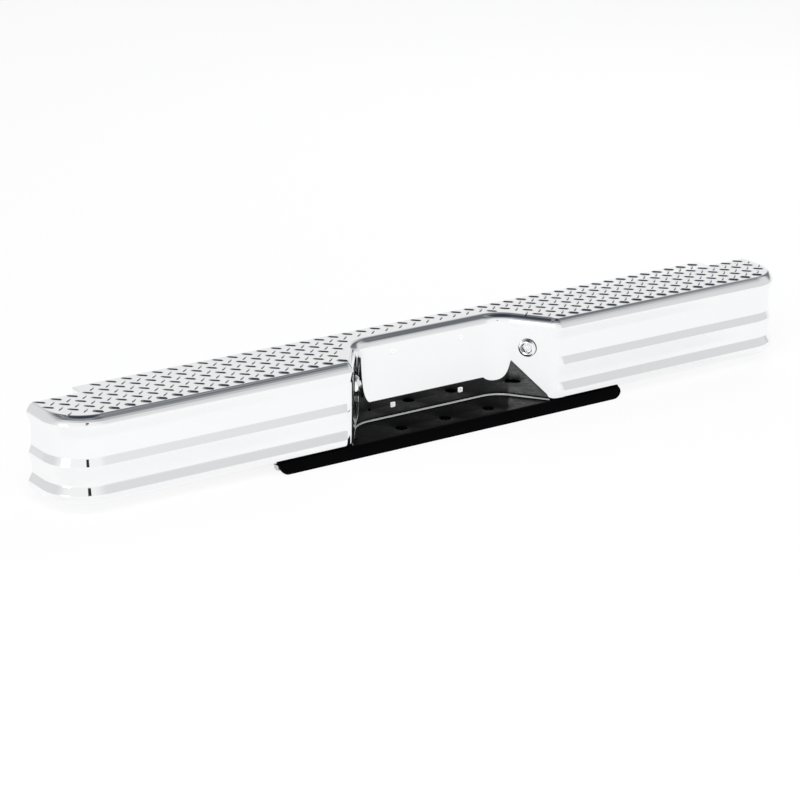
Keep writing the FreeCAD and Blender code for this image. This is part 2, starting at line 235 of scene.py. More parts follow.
class NodeSet:
    """Short calls for building a node tree."""

    def __init__(self, tree: bpy.types.NodeTree) -> None:
        """Keeps the tree."""
        self.tree = tree

    @classmethod
    def of(cls, holder: bpy.types.Material | bpy.types.World) -> "NodeSet":
        """Empties the tree of a material or a world and starts on it."""
        holder.use_nodes = True
        holder.node_tree.nodes.clear()
        return cls(holder.node_tree)

    def node(self, kind: str, inputs: dict | None = None, **settings: object) -> bpy.types.Node:
        """Adds a node, sets its properties, and sets or links its inputs.

        Args:
            kind: node type.
            inputs: input name or number to a value or an output socket.
            settings: node properties.

        Returns:
            The node.
        """
        made = self.tree.nodes.new(kind)
        for key, value in settings.items():
            setattr(made, key, value)
        for key, value in (inputs or {}).items():
            socket = made.inputs[key]
            if isinstance(value, Socket):
                self.tree.links.new(value, socket)
            else:
                socket.default_value = value
        return made

    def calc(self, operation: str, *values: Socket | float) -> Socket:
        """Output of a math node on sockets and numbers, in their order."""
        return self.node("ShaderNodeMath", dict(enumerate(values)), operation=operation).outputs[0]

    def ease(self, value: Socket, start: float, end: float) -> Socket:
        """Smooth step that is 0 where a value is at the start and 1 where it is at the end."""
        wires = {"Value": value, "From Min": start, "From Max": end}
        return self.node("ShaderNodeMapRange", wires, interpolation_type="SMOOTHSTEP").outputs[0]

    def blend(self, share: Socket, before: Socket | Colour, after: Socket | Colour) -> Socket:
        """Colour between two: the first where the share is 0, the second where it is 1."""
        return self.node("ShaderNodeMix", {0: share, 6: before, 7: after}, data_type="RGBA").outputs[2]


def node_group(name: str, inputs: dict[str, float], outputs: list[str]) -> NodeSet:
    """Starts a shader node group with number inputs and value outputs.

    Args:
        name: group name.
        inputs: input names and the values they start with.
        outputs: output names.

    Returns:
        Its empty node set.
    """
    tree = bpy.data.node_groups.new(name, "ShaderNodeTree")
    for key, value in inputs.items():
        socket = tree.interface.new_socket(key, in_out="INPUT", socket_type="NodeSocketFloat")
        socket.default_value = value
    for key in outputs:
        tree.interface.new_socket(key, in_out="OUTPUT", socket_type="NodeSocketFloat")
    return NodeSet(tree)


def wander_group() -> None:
    """Broad and fine noise in the piece's own space: handling haze and surface ripple."""
    make = node_group("surface_wander", {"Broad Scale": 6.0, "Fine Scale": 90.0}, ["Broad", "Fine"])
    source = make.node("NodeGroupInput")
    place = make.node("ShaderNodeTexCoord")
    noise = {}
    for key, detail in (("Broad", 2.0), ("Fine", 5.0)):
        scale = source.outputs[f"{key} Scale"]
        wires = {"Vector": place.outputs["Object"], "Scale": scale, "Detail": detail}
        noise[key] = make.node("ShaderNodeTexNoise", wires).outputs["Fac"]
    make.node("NodeGroupOutput", noise)


def speck_group() -> None:
    """Sparse small specks, as of settled dust: one where the centre of a chosen cell is near."""
    make = node_group("dust_specks", {"Scale": 400.0, "Size": 0.12}, ["Mask"])
    source = make.node("NodeGroupInput")
    place = make.node("ShaderNodeTexCoord")
    wires = {"Vector": place.outputs["Object"], "Scale": source.outputs["Scale"]}
    cells = make.node("ShaderNodeTexVoronoi", wires)
    close = make.calc("LESS_THAN", cells.outputs["Distance"], source.outputs["Size"])
    chosen = make.calc("GREATER_THAN", cells.outputs["Color"], SPECK_RARITY)
    make.node("NodeGroupOutput", {"Mask": make.calc("MULTIPLY", close, chosen)})


@dataclass(frozen=True)
class Finish:
    """A surface finish: a principled shader with noise in its colour, roughness and relief.

    The colour runs between two values with the broad noise, the roughness between two values with the
    fine noise, and the relief is a bump from both.
    """

    name: str
    colour: tuple[float, float, float]
    worn: tuple[float, float, float]
    rough: tuple[float, float]
    metallic: float = 0.0
    broad_scale: float = 6.0
    fine_scale: float = 90.0
    relief: float = 0.0
    relief_depth: float = 0.0002
    specks: float = 0.0
    clear: bool = False
    ior: float = 1.5
    specular: float = 0.5

    def material(self) -> bpy.types.Material:
        """Builds the material once and returns it."""
        if self.name in bpy.data.materials:
            return bpy.data.materials[self.name]
        made = bpy.data.materials.new(self.name)
        make = NodeSet.of(made)
        groups = bpy.data.node_groups
        scales = {"Broad Scale": self.broad_scale, "Fine Scale": self.fine_scale}
        wander = make.node("ShaderNodeGroup", scales, node_tree=groups["surface_wander"])
        broad, fine = wander.outputs["Broad"], wander.outputs["Fine"]
        colour = make.blend(broad, (*self.colour, 1.0), (*self.worn, 1.0))
        if self.specks:
            dust = make.node("ShaderNodeGroup", node_tree=groups["dust_specks"])
            colour = make.blend(make.calc("MULTIPLY", dust.outputs["Mask"], self.specks), colour, DUST)
        noise = {"Value": fine, "From Min": NOISE_SPAN[0], "From Max": NOISE_SPAN[1]}
        rough = make.node("ShaderNodeMapRange", {**noise, "To Min": self.rough[0], "To Max": self.rough[1]})
        surface = {
            "Base Color": colour, "Roughness": rough.outputs[0], "Metallic": self.metallic, "IOR": self.ior,
            "Specular IOR Level": self.specular, "Transmission Weight": float(self.clear),
        }
        if self.relief:
            height = make.node("ShaderNodeMix", {0: FINE_SHARE, 2: broad, 3: fine}, data_type="FLOAT")
            depth = {"Strength": self.relief, "Distance": self.relief_depth, "Height": height.outputs[0]}
            surface["Normal"] = make.node("ShaderNodeBump", depth).outputs[0]
        shader = make.node("ShaderNodeBsdfPrincipled", surface)
        make.node("ShaderNodeOutputMaterial", {"Surface": shader.outputs[0]})
        return made


CHROME = Finish(
    "bright_chrome", (0.955, 0.957, 0.96), (0.93, 0.935, 0.94), (0.008, 0.03), metallic=1.0, relief=0.03
)
TOW_BLACK = Finish(
    "tow_black_paint", (0.0014, 0.0014, 0.0017), (0.0022, 0.0022, 0.0025), (0.26, 0.40),
    specular=0.008, relief=0.08, specks=0.01,
)
# Pale grey of the bead along the recess's foot: a painted highlight, the thin light line there.
FOOT_LINE_HIGHLIGHT = Finish(
    "foot_sealant", (0.50, 0.51, 0.51), (0.42, 0.43, 0.43), (0.4, 0.6), broad_scale=40.0, relief=0.2
)
SATIN_BLACK = Finish(
    "bracket_satin_black", (0.022, 0.022, 0.024), (0.035, 0.035, 0.037), (0.38, 0.55),
    relief=0.2, specks=0.12,
)
ZINC = Finish(
    "zinc_plate", (0.58, 0.59, 0.60), (0.66, 0.66, 0.63), (0.24, 0.42),
    metallic=1.0, fine_scale=260.0, relief=0.1,
)
NYLON = Finish(
    "white_nylon", (0.95, 0.95, 0.93), (0.91, 0.91, 0.89), (0.35, 0.5), broad_scale=60.0, relief=0.1
)
BLACK_PLASTIC = Finish(
    "lamp_black_plastic", (0.020, 0.020, 0.021), (0.032, 0.032, 0.033), (0.42, 0.6),
    fine_scale=700.0, relief=0.25,
)
RUBBER = Finish(
    "lamp_rubber", (0.014, 0.014, 0.014), (0.024, 0.024, 0.023), (0.6, 0.8), fine_scale=500.0, relief=0.3
)
LENS = Finish("lamp_clear_lens", (0.97, 0.98, 0.99), (0.94, 0.95, 0.96), (0.01, 0.04), clear=True)
BULB = Finish("bulb_clear_glass", (0.96, 0.96, 0.93), (0.93, 0.93, 0.90), (0.01, 0.05), clear=True, ior=1.45)


# Face bar


@dataclass(frozen=True)
class PlanPath:
    """The face bar's flat in plan: licence recess, slanted walls, face and wrapped ends. Millimetres."""

    flat_y: float = -140.0
    wall_y: float = -32.0
    end_x: float = 930.0
    end_y: float = 2.5
    rear_y: float = 40.6
    step_x: float = 819.0
    end_r: float = 86.0
    recess_front: float = 262.5
    recess_rear: float = 184.0
    bend_front: float = 26.0
    bend_rear: float = 66.0
    lead: float = 8.0
    runout: float = 18.0
    notch_r: float = 4.0
    rear_r: float = 6.0
    end_gap: float = 3.0
    support: float = 2.0
    rear_steps: int = 36
    front_steps: int = 24
    end_steps: int = 44
    runout_points: int = 9
    face_points: int = 15
    side_points: int = 5

    @property
    def turn(self) -> float:
        """Angle between the face and a slanted wall."""
        return math.atan2(self.wall_y - self.flat_y, self.recess_front - self.recess_rear)

    @property
    def front_x(self) -> float:
        """X where the front bend meets the face."""
        return self.recess_front + self.bend_front * math.tan(self.turn / 2)

    @property
    def rear_x(self) -> float:
        """X where the rear bend meets the licence wall."""
        return self.recess_rear - self.bend_rear * math.tan(self.turn / 2)

    def arc(
        self, centre: tuple[float, float], radius: float, sweep: tuple[float, float], steps: int
    ) -> Array:
        """Points and radial normals of an arc.

        Args:
            centre: its centre.
            radius: its radius.
            sweep: its first and last angle.
            steps: its segments.

        Returns:
            Rows of x, y, normal x and normal y.
        """
        a = np.linspace(*sweep, steps + 1)
        c, s = np.cos(a), np.sin(a)
        return np.stack([centre[0] + radius * c, centre[1] + radius * s, c, s], 1)

    def half(self) -> Array:
        """Right half of the path.

        Straight runs keep one normal and have a point close to each arc, so they shade flat; on an arc the
        normal is the radius, pointing into the recess on the rear bend and out of the bumper on the others.
        Both weights are 0 in the recess and 1 on the face: the rim's eases along the front bend, the ribs'
        in a short run over the bend's end.

        Returns:
            Rows of x, y, outward normal x and y, rib weight and rim weight.
        """
        quarter, turn, gap = math.pi / 2, self.turn, self.support
        centre = (self.rear_x, self.wall_y - self.bend_rear)
        rear = self.arc(centre, self.bend_rear, (quarter, quarter - turn), self.rear_steps)
        rear[:, 2:] *= -1.0
        centre = (self.front_x, self.flat_y + self.bend_front)
        front = self.arc(centre, self.bend_front, (3 * quarter - turn, 3 * quarter), self.front_steps)
        centre = (self.end_x - self.end_r, self.flat_y + self.end_r)
        end = self.arc(centre, self.end_r, (-quarter, 0.0), self.end_steps)
        last, first = centre
        start = np.linspace(self.front_x, self.front_x + self.runout - self.lead, self.runout_points)
        x = np.linspace(start[-1], last, self.face_points)[1:-1]
        x = np.concatenate([start, x, [last - gap]])
        face = np.stack([x, np.full_like(x, self.flat_y), 0 * x, -1 + 0 * x], 1)
        y = np.linspace(first, self.end_y - self.end_gap, self.side_points)[1:]
        y = np.concatenate([[first, first + gap], y, [self.end_y]])
        side = np.stack([np.full_like(y, self.end_x), y, 1 + 0 * y, 0 * y], 1)
        wall = np.array([[x, self.wall_y, 0.0, -1.0] for x in (0.0, self.rear_x - gap)])
        c, s = math.cos(turn), math.sin(turn)
        ahead = gap * np.array([c, -s])
        slant = np.array([[*point, -s, -c] for point in (rear[-1, :2] + ahead, front[0, :2] - ahead)])
        flat = np.vstack([wall, rear, slant])
        path = np.vstack([flat, front[:-1], face, end[:-1], side])
        corner = np.arange(len(front) - 1) / (len(front) - 1)
        rim, past = np.ones(len(path)), path[:, 0] - self.front_x
        rim[: len(flat)] = 0.0
        past[: len(flat)] = -self.lead
        bend = slice(len(flat), len(flat) + len(corner))
        rim[bend] = smoothstep(corner)
        past[bend] = (corner - 1.0) * turn * self.bend_front
        ribs = smoothstep((past + self.lead) / self.runout)
        return np.hstack([path, ribs[:, None], rim[:, None]])

    def full(self) -> Array:
        """The whole path from the left end to the right end."""
        right = self.half()
        left = right[:0:-1] * np.array([-1.0, 1.0, -1.0, 1.0, 1.0, 1.0])
        return np.vstack([left, right])

    def rear(self) -> Array:
        """Rear edge from left to right as rows of x, y and outward normal, with small corner arcs."""
        right = [
            (self.step_x, self.rear_y, self.rear_r), (self.step_x, self.end_y, self.notch_r),
            (self.end_x - self.end_gap, self.end_y, 0.0),
        ]
        left = [(-x, y, r) for x, y, r in reversed(right)]
        line = filleted(left + right)
        ahead = np.diff(line, axis=0)
        ahead /= np.linalg.norm(ahead, axis=1)[:, None]
        mean = np.vstack([ahead[:1], ahead[:-1] + ahead[1:], ahead[-1:]])
        mean /= np.linalg.norm(mean, axis=1)[:, None]
        return np.hstack([line, np.stack([-mean[:, 1], mean[:, 0]], 1)])


def carried(path: Array, offset: Array, height: Array) -> Array:
    """A section carried along a path: point = path + normal * offset, at its height.

    Args:
        path: rows of x, y, normal x and normal y.
        offset: offsets of the section's points, the same along the path or one row for each path point.
        height: heights of the section's points, likewise.

    Returns:
        Points (path points, section points, 3).
    """
    x = path[:, 0:1] + path[:, 2:3] * offset
    y = path[:, 1:2] + path[:, 3:4] * offset
    return np.stack([x, y, np.broadcast_to(height, x.shape)], -1)


def fallen_back(rise: Array, radius: float) -> Array:
    """Offset of a quarter arc by the rise past its start: 0 up to there, minus the radius at its end."""
    rise = np.clip(rise, 0.0, radius)
    return np.sqrt(radius**2 - rise**2) - radius


@dataclass
class FaceBar:
    """The one-piece chrome stamping. Millimetres."""

    path: PlanPath
    sheet: float = 2.5
    tread_z: float = 210.0
    plate_top: float = 25.0
    flange: float = 25.0
    rear_flange: float = 32.0
    rear_bend: float = 3.0
    bend_points: int = 7
    foot_out: float = 10.0
    foot_r: float = 16.0
    recess_foot_r: float = 6.0
    crown_r: float = 21.0
    crown_from: float = 130.0
    rim_from: float = 140.0
    rim_lap: float = 4.0
    crown_lap: float = 3.0
    fillet_steps: int = 8

    def ribs(self) -> list[tuple[float, float, float]]:
        """Flange, rolled foot and two ribs on the face, as rows of offset, height and fillet."""
        out, base = self.foot_out, self.plate_top
        return [
            (-self.flange, base, 0.0), (out, base, self.foot_r), (out, 47.0, 6.0), (0.0, 63.7, 9.0),
            (0.0, 77.0, 30.0), (7.0, 106.0, 4.0), (0.0, 123.0, 10.0),
        ]

    def rim(self) -> list[tuple[float, float, float]]:
        """Rim on the face from its foot to the tread, as rows of offset, height and fillet."""
        drops = [
            (45.0, 0.0, 24.0), (24.0, 7.4, 2.5), (19.0, 8.5, 4.0), (15.5, 7.2, 10.0), (11.5, 5.0, 12.0),
            (7.5, 2.2, 12.0), (4.2, -0.6, 8.0), (2.0, -3.0, 5.0), (0.7, -5.2, 3.0), (0.0, -7.6, 3.0),
        ]
        return [(out, self.tread_z - drop, fillet) for drop, out, fillet in drops]

    def section(self) -> Array:
        """Section from the bottom flange to the tread.

        On the face a filleted polyline through the rolled foot, the two ribs and the rim. In the recess
        the foot's own arc, then the flat wall, then a quarter arc back to the tread.

        Returns:
            Rows of height, face offset and recess offset.
        """
        rim = self.rim()
        end = (rim[-1][0] - self.rim_lap, self.tread_z, 0.0)
        line = filleted([*self.ribs(), *rim, end], self.fillet_steps)
        out, z = line[:, 0], line[:, 1]
        foot = fallen_back(self.plate_top + self.recess_foot_r - z, self.recess_foot_r)
        recess = np.where(z < self.plate_top + TINY, out, foot)
        crown = fallen_back(z - self.tread_z + self.crown_r, self.crown_r)
        recess = np.where(z > self.crown_from, crown, recess)
        recess[-1] = recess[-2] - self.crown_lap
        return np.stack([z, out, recess], 1)

    def skin(self) -> bpy.types.Object:
        """Face, rim, top and rear flange as one sheet, thickened inwards.

        The face is the section carried along the plan path, its offset mixing the recess and face sections
        by the path's rib weight below the rim and its rim weight above.

        Returns:
            The sheet's object.
        """
        surface = SurfaceMesh()
        path = self.path.full()
        height, out, recess = self.section().T
        weight = np.where(height > self.rim_from, path[:, 5:6], path[:, 4:5])
        face = carried(path, recess * (1 - weight) + out * weight, height)
        surface.grid(face)
        a = np.radians(np.linspace(0.0, 90.0, self.bend_points))
        r = self.rear_bend
        out = np.concatenate([-r + r * np.sin(a), [0.0]])
        height = np.concatenate([self.tread_z - r + r * np.cos(a), [self.tread_z - self.rear_flange]])
        flange = carried(self.path.rear(), out, height)
        surface.grid(flange)
        top = np.vstack([face[1:-1, -1], flange[::-1, 0]])
        surface.add(top, np.arange(len(top))[None])
        return surface.build("face_bar_skin", sheet=self.sheet)

    def build(self) -> None:
        """Makes and dresses the stamping, its tread and the bead under its foot."""
        settle(self.skin(), "chrome", CHROME.material(), "face_bar")
        Tread(self.path, self.tread_z, self.crown_r).build()
        FootBead(self.path, self.plate_top).build()


@dataclass
class Tread:
    """Diamond tread: rows of raised bars that lean to the left and the right by turns. Millimetres."""

    path: PlanPath
    top: float
    crown_r: float
    long: float = 26.5
    wide: float = 7.0
    high: float = 2.0
    blunt: float = 0.16
    plan_power: float = 0.4
    end_run: float = 0.34
    side_power: float = 1.4
    sink: float = 0.05
    sharp: float = 70.0
    front_wide: float = 1.25
    front_high: float = 1.45
    pitch_x: float = 35.5
    pitch_y: float = 36.0
    phase: float = 0.25
    first_row: float = -119.0
    rows: int = 5
    edge: float = 13.0
    lip: float = 10.0
    rim_inset: float = 4.2

    def places(self) -> Array:
        """Lattice points with room for a bar, as rows of x, y and lean in radians."""
        count = int(2 * self.path.end_x / self.pitch_x)
        rows, columns = np.arange(2 * self.rows - 1), np.arange(-count, count + 1)
        row, column = np.meshgrid(rows, columns, indexing="ij")
        x = (column / 2 + self.phase) * self.pitch_x
        y = self.first_row + row * self.pitch_y / 2
        lean = np.where(row % 2 == 0, -1.0, 1.0) * math.pi / 4
        keep = ((row + column) % 2 == 0) & self.has_room(x, y)
        return np.stack([x[keep], y[keep], lean[keep]], 1)

    def has_room(self, x: Array, y: Array) -> Array:
        """Whether points lie inside the step's outline drawn in by the tread's edge distance.

        A point is inside where a line from it towards +X crosses the outline an odd number of times.

        Args:
            x: x of the points.
            y: y of the points.

        Returns:
            True or False for each point.
        """
        path, plan = self.path.full(), self.path
        inset = -self.rim_inset - self.lip
        step = path[:, 5:6] * inset - (1 - path[:, 5:6]) * (self.crown_r + self.lip / 4)
        front = path[:, :2] + path[:, 2:4] * step
        front = front[front[:, 1] < plan.end_y - self.edge]
        sx, ey, ry = plan.step_x - self.edge, plan.end_y - self.edge, plan.rear_y - self.edge
        ex = plan.end_x + inset
        tail = np.array([(ex, ey), (sx, ey), (sx, ry), (-sx, ry), (-sx, ey), (-ex, ey)])
        loop = np.vstack([front, tail])
        nxt = np.roll(loop, -1, axis=0)
        px, py = x.ravel()[:, None], y.ravel()[:, None]
        straddle = (loop[:, 1] > py) != (nxt[:, 1] > py)
        rise = np.where(nxt[:, 1] == loop[:, 1], 1.0, nxt[:, 1] - loop[:, 1])
        cross = loop[:, 0] + (py - loop[:, 1]) / rise * (nxt[:, 0] - loop[:, 0])
        return ((straddle & (px < cross)).sum(1) % 2 == 1).reshape(x.shape)

    def bar(self) -> Array:
        """One bar about the origin: a lens in plan, falling straight to each end and rounded to its sides.

        The half width goes with (1 - s^2)^plan_power, held at the blunt ends, and the height across it with
        1 - |t|^side_power.

        Returns:
            Points (along, across, 3).
        """
        along = [-1.0, -0.85, -0.66, -0.33, 0.0, 0.33, 0.66, 0.85, 1.0]
        across = [-1.0, -0.62, -0.28, 0.0, 0.28, 0.62, 1.0]
        s, t = np.meshgrid(along, across, indexing="ij")
        half = self.wide / 2 * np.maximum(1 - s**2, self.blunt) ** self.plan_power
        rise = np.minimum(1.0, (1 - np.abs(s)) / self.end_run) * (1 - np.abs(t) ** self.side_power)
        return np.stack([s * self.long / 2, t * half, self.high * rise - self.sink], -1)

    def build(self) -> None:
        """Sets a bar on each place, wider and higher in the front row, and dresses them."""
        bar, places = self.bar(), self.places()
        flat, quads = bar.reshape(-1, 3), grid_faces(*bar.shape[:2])
        c, s = np.cos(places[:, 2:]), np.sin(places[:, 2:])
        bold = places[:, 1:2] < self.first_row + self.pitch_y / 4
        wide = np.where(bold, self.front_wide, 1.0) * flat[:, 1]
        x = places[:, 0:1] + c * flat[:, 0] - s * wide
        y = places[:, 1:2] + s * flat[:, 0] + c * wide
        z = self.top + np.where(bold, self.front_high, 1.0) * flat[:, 2]
        steps = (np.arange(len(places)) * len(flat))[:, None, None]
        surface = SurfaceMesh()
        surface.add(np.stack([x, y, z], -1), (quads[None] + steps).reshape(-1, 4))
        settle(surface.build("tread_bars", sharp=self.sharp), "chrome", CHROME.material(), "face_bar")


@dataclass
class FootBead:
    """Pale bead along the recess's foot, on the tow channel; its pale grey is a painted highlight that draws
    the thin light line along the foot. Millimetres.
    """

    path: PlanPath
    base: float
    reach: float = 258.0
    fade_from: float = 190.0
    inset: float = 1.9
    end_inset: float = 1.2
    half_wide: float = 2.2
    high: float = 1.3
    end_fall: float = 0.8
    points: int = 6

    def build(self) -> None:
        """Makes a low half-round along the foot, just outside the wall and drawn in towards both ends."""
        path = self.path.full()
        path = path[np.abs(path[:, 0]) < self.reach]
        a = np.linspace(0.0, math.pi, self.points)
        fade = smoothstep((np.abs(path[:, :1]) - self.fade_from) / (self.reach - self.fade_from))
        offset = -self.inset - self.end_inset * fade + self.half_wide * np.cos(a)
        z = self.base + (self.high - self.end_fall * fade) * np.sin(a)
        surface = SurfaceMesh()
        surface.grid(carried(path, offset, z), wrap=True)
        # The bead's pale grey paints the light line along the foot as a highlight.
        settle(surface.build("foot_sealing_bead"), "rubber", FOOT_LINE_HIGHLIGHT.material())


# Tow channel


@dataclass
class TowChannel:
    """The black channel with three ball holes. Millimetres."""

    half: float = 445.0
    front: float = -150.0
    rear: float = 6.0
    top: float = 25.0
    thick: float = 6.0
    nose: float = 15.0
    heel: float = 10.0
    corner: float = 20.0
    hole_r: float = 13.5
    hole_pitch: float = 114.3
    hole_y: float = -101.5
    edge_round: float = 0.8
    arc_points: int = 13
    span_points: int = 25
    ring_points: int = 48

    INSIDE_EDGES = 1

    def edge(self) -> Array:
        """Stations along X and the height of the lower edge at each, round at both ends."""
        a = np.linspace(0.0, math.pi / 2, self.arc_points)
        bend_x = self.half - self.corner + self.corner * np.sin(a[::-1])
        bend_z = self.corner - self.corner * np.cos(a[::-1])
        mid = np.linspace(-self.half + self.corner, self.half - self.corner, self.span_points)[1:-1]
        x = np.concatenate([-bend_x, mid, bend_x[::-1]])
        z = np.concatenate([bend_z, 0 * mid, bend_z[::-1]])
        return np.stack([x, z], 1)

    def side(self, y0: float, sign: float, bend: float) -> Array:
        """One down-turned edge: a straight drop and a quarter arc, carried along X.

        Where the round end rises past the drop, the arc starts at the angle whose height is the edge's.

        Args:
            y0: outer plane of the edge.
            sign: direction from it to the middle of the channel.
            bend: outer radius of the arc.

        Returns:
            Points, one row per station.
        """
        edge = self.edge()
        base = self.top - bend
        start = np.arcsin(np.clip((edge[:, 1:] - base) / bend, 0.0, 1.0))
        a = start + (math.pi / 2 - start) * np.linspace(0.0, 1.0, self.arc_points)
        inset = bend - bend * np.cos(a)
        y = y0 + sign * np.hstack([inset[:, :1], inset])
        z = np.hstack([edge[:, 1:], base + bend * np.sin(a)])
        x = np.broadcast_to(edge[:, :1], y.shape)
        return np.stack([x, y, z], -1)

    def deck(self, outer: Array) -> tuple[Array, Array]:
        """Flat top between its outline and the three ball holes, as points and upward triangles.

        The outline and the holes' rings bound an even triangulation; the triangles whose middle lies in a
        hole are left out.

        Args:
            outer: points of the outline.

        Returns:
            Points and rows of three indices.
        """
        ring = np.linspace(0.0, 2 * math.pi, self.ring_points, endpoint=False)
        middles = np.array([(step * self.hole_pitch, self.hole_y) for step in (-1, 0, 1)])
        circle = self.hole_r * np.stack([np.cos(ring), np.sin(ring)], 1)
        loops = [outer[:, :2], *(middle + circle for middle in middles)]
        edges: list[tuple[int, int]] = []
        for loop in loops:
            start, count = len(edges), len(loop)
            edges += [(start + k, start + (k + 1) % count) for k in range(count)]
        flat = [Vector(point) for point in np.vstack(loops)]
        points, _, triangles, *_ = delaunay_2d_cdt(flat, edges, [], self.INSIDE_EDGES, TINY)
        points, triangles = np.array(points), np.array(triangles)
        apart = points[triangles].mean(1)[:, None] - middles
        triangles = triangles[(np.linalg.norm(apart, axis=2) > self.hole_r).all(1)]
        return np.hstack([points, np.full((len(points), 1), self.top)]), triangles

    def build(self) -> None:
        """Makes the two down-turned edges and the holed top as one sheet and dresses it."""
        surface = SurfaceMesh()
        front = self.side(self.front, 1.0, self.nose)
        rear = self.side(self.rear, -1.0, self.heel)
        surface.grid(front)
        surface.grid(rear[:, ::-1])
        surface.add(*self.deck(np.vstack([front[:, -1], rear[::-1, -1]])))
        piece = surface.build("tow_channel_body", sheet=self.thick, bevel=self.edge_round)
        settle(piece, "tow_black", TOW_BLACK.material(), "tow_channel")


# Licence lamps and plate nuts


def dress(node: str, finish: Finish) -> None:
    """Gives a CAD node its finish.

    Args:
        node: node name.
        finish: the finish.
    """
    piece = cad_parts[node]
    piece.data.materials.clear()
    piece.data.materials.append(finish.material())
    LOG.info("%s: dressed as %s", node, finish.name)


def dome(radius: float, base: float, top: float, points: int) -> Array:
    """Arc centred on the axis, from its rim to its top.

    Args:
        radius: radius of the rim.
        base: height of the rim.
        top: height of the top.
        points: points on the arc.

    Returns:
        (radius, height) points.
    """
    centre = (radius * radius + base * base - top * top) / (2 * (base - top))
    a = np.linspace(math.atan2(radius, base - centre), 0.0, points)
    return np.stack([(top - centre) * np.sin(a), centre + (top - centre) * np.cos(a)], 1)


@dataclass
class LicenceLamp:
    """One round licence lamp on a slanted recess wall. Millimetres; height 0 is the wall."""

    side: Side
    path: PlanPath
    x: float = 226.0
    z: float = 140.0
    seat_r: float = 16.65
    seat_z: float = 1.2
    outer_r: float = 20.0
    mouth_r: float = 13.0
    mouth_z: float = 10.0
    pocket_r: float = 14.6
    pocket_low: float = 3.05
    pocket_high: float = 5.2
    lens_r: float = 14.5
    lens_lip: float = 5.1
    dome_r: float = 12.9
    dome_top: float = 15.0
    hollow_r: float = 11.0
    hollow_top: float = 13.0
    dome_points: int = 14
    fillet_steps: int = 4

    def place(self) -> Matrix:
        """Turns the lamp's axis to the wall's normal and moves it to its hole."""
        p, sign = self.path, self.side.value
        along = (self.x - p.recess_front) / (p.recess_rear - p.recess_front)
        base = Vector((sign * self.x, p.flat_y + along * (p.wall_y - p.flat_y), self.z))
        normal = Vector((-sign * math.sin(p.turn), -math.cos(p.turn), 0.0))
        return Matrix.Translation(base) @ normal.to_track_quat("Z", "Y").to_matrix().to_4x4()

    def bezel_profile(self) -> Array:
        """Domed ring with a pocket for the lens, as (radius, height) points."""
        seat, mouth, pocket = self.seat_r, self.mouth_r, self.pocket_r
        low, high, base = self.pocket_low, self.pocket_high, self.seat_z
        return filleted([
            (seat, base, 0.0), (self.outer_r, base, 0.5), (self.outer_r, 2.8, 0.9), (18.6, 6.0, 4.0),
            (15.8, 9.0, 4.0), (mouth, self.mouth_z, 0.6), (mouth, high, 0.3), (pocket, high, 0.3),
            (pocket, low, 0.3), (seat, low, 0.3), (seat, base, 0.0),
        ], self.fillet_steps)[:-1]

    def lens_profile(self) -> Array:
        """Domed lens: two arcs centred on the axis, with a flat lip under the bezel."""
        low, lip = self.pocket_low, self.lens_lip
        rim = np.array([(self.hollow_r, low), (self.lens_r, low), (self.lens_r, lip)])
        outside = dome(self.dome_r, lip, self.dome_top, self.dome_points)
        inside = dome(self.hollow_r, lip, self.hollow_top, self.dome_points)
        return np.vstack([rim, outside, inside[::-1]])

    def build(self) -> None:
        """Turns the bezel and the lens from their profiles, and dresses the pieces behind them."""
        bezel, lens = self.bezel_profile(), self.lens_profile()
        for name, profile, finish, slot in (
            ("bezel", bezel, CHROME, "chrome"), ("lens", lens, LENS, "clear_lens"),
        ):
            surface = SurfaceMesh()
            surface.lathe(np.vstack([profile, profile[:1]]), self.place())
            node = f"{self.side.label}_lamp_{name}"
            settle(surface.build(f"{node}_turned"), slot, finish.material(), node)
        for name, finish in (
            ("housing", ZINC), ("gasket", RUBBER), ("retainer", ZINC), ("socket", BLACK_PLASTIC),
            ("grommet", RUBBER), ("bulb", BULB),
        ):
            dress(f"{self.side.label}_lamp_{name}", finish)


